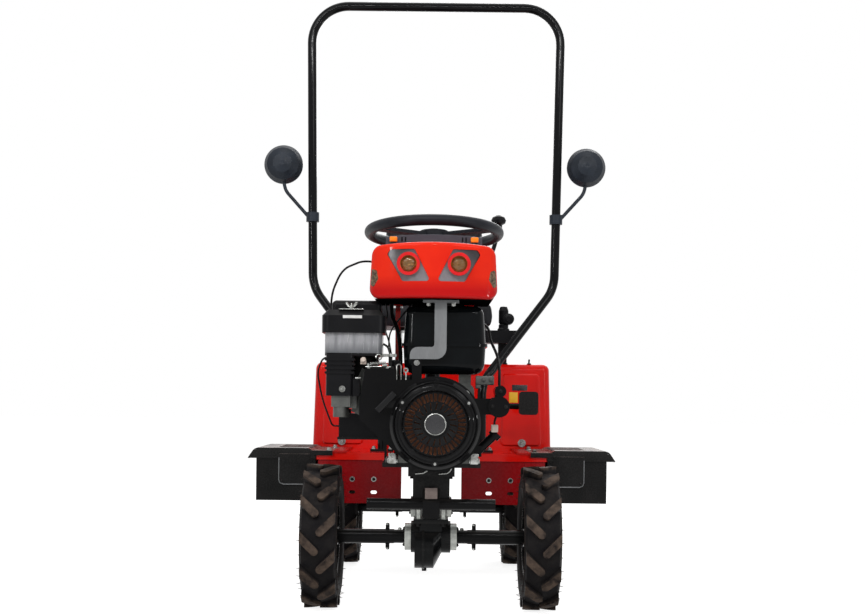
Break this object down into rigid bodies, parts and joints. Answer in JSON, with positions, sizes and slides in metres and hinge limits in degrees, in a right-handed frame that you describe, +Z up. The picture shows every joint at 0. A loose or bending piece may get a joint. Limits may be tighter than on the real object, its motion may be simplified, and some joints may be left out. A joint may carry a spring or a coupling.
{
  "type": "mini tractor",
  "caption": "Articulated mini tractor: open front engine, red hood with round lamps, lugged tyres, steering wheel, padded seat, foot plates and a roll hoop with mirrors.",
  "frame": {"origin": "on the floor straight below the steering pivot's axis, midway along the tractor's length and width", "axes": "+X to the driver's left, +Y to the rear, +Z up; the tractor drives toward -Y"},
  "size_m": [1.1872, 1.62, 1.959],
  "materials": {
    "red_paint": "gloss",
    "black_paint": "semi gloss",
    "engine_black": "gloss",
    "cast_engine": "cast",
    "black_plastic": "satin",
    "grey_plastic": "satin",
    "fan_brown": "satin",
    "bowl_clear": "translucent",
    "bare_steel": "plated",
    "grey_strap": "satin",
    "lamp_grey": "gloss",
    "lamp_glass": "clear",
    "amber_lens": "gloss",
    "orange_lens": "gloss",
    "red_lens": "gloss",
    "mirror": "polished",
    "seat_vinyl": "satin",
    "cable_rubber": "matte",
    "tyre": "matte",
    "rim_paint": "semi gloss"
  },
  "bodies": {
    "rear_half": {"rear_frame": "black_paint", "pivot_pin": "bare_steel", "tow_hitch": "black_paint", "body_shell": "red_paint", "floor_pan": "red_paint", "apron": "red_paint", "footplates": "black_paint", "roll_bar": "black_paint", "mirrors": "black_plastic", "mirror_glass": "mirror", "seat_base": "black_paint", "seat_cushion": "seat_vinyl", "seat_back": "seat_vinyl", "gear_lever": "black_plastic", "control_console": "black_plastic", "brake_pedal": "black_paint", "tail_lamps": "red_lens", "rear_gearbox": "black_paint", "rear_gearbox_fittings": "bare_steel"},
    "front_half": {"front_frame": "black_paint", "front_bumper": "black_paint", "engine_block": "cast_engine", "fan_shroud": "engine_black", "recoil_cover": "engine_black", "recoil_screen": "fan_brown", "clutch_housing": "black_paint", "fuel_tank": "engine_black", "fuel_cap": "black_plastic", "tank_strap": "grey_strap", "air_cleaner_base": "black_plastic", "air_cleaner_bowl": "bowl_clear", "air_cleaner_cap": "black_plastic", "carburettor": "bare_steel", "starter_motor": "engine_black", "oil_filler": "engine_black", "muffler": "black_paint", "battery": "black_plastic", "hood": "red_paint", "lamp_panels": "lamp_grey", "lamp_rings": "red_paint", "headlamps": "lamp_glass", "corner_lamps": "amber_lens", "dash": "grey_plastic", "indicators": "orange_lens", "steering_column": "black_paint", "hood_legs": "red_paint", "throttle_linkage": "bare_steel", "control_cables": "cable_rubber", "front_gearbox": "black_paint", "front_gearbox_fittings": "bare_steel"},
    "steering_wheel": {"steering_wheel": "black_plastic"},
    "front_wheel_left": {"tyre_front_left": "tyre", "rim_front_left": "rim_paint"},
    "front_wheel_right": {"tyre_front_right": "tyre", "rim_front_right": "rim_paint"},
    "rear_wheel_left": {"tyre_rear_left": "tyre", "rim_rear_left": "rim_paint"},
    "rear_wheel_right": {"tyre_rear_right": "tyre", "rim_rear_right": "rim_paint"}
  },
  "joints": [
    {"name": "articulation", "type": "hinge", "parent": "rear_half", "child": "front_half", "pos_m": [0, 0, 0.359], "axis": [0, 0, 1], "range_deg": [-26, 26]},
    {"name": "steering_wheel_turn", "type": "hinge", "parent": "front_half", "child": "steering_wheel", "pos_m": [0, -0.37, 1.1], "axis": [0, 0.0785, 0.9969], "range_deg": [-312, 312]},
    {"name": "front_wheel_left_spin", "type": "hinge", "parent": "front_half", "child": "front_wheel_left", "pos_m": [0.313, -0.48, 0.207], "axis": [1, 0, 0], "continuous": true},
    {"name": "front_wheel_right_spin", "type": "hinge", "parent": "front_half", "child": "front_wheel_right", "pos_m": [-0.313, -0.48, 0.207], "axis": [1, 0, 0], "continuous": true},
    {"name": "rear_wheel_left_spin", "type": "hinge", "parent": "rear_half", "child": "rear_wheel_left", "pos_m": [0.313, 0.57, 0.207], "axis": [1, 0, 0], "continuous": true},
    {"name": "rear_wheel_right_spin", "type": "hinge", "parent": "rear_half", "child": "rear_wheel_right", "pos_m": [-0.313, 0.57, 0.207], "axis": [1, 0, 0], "continuous": true}
  ],
  "couplings": [
    {"joint": "steering_wheel_turn", "follows": "articulation", "ratio": 12}
  ]
}
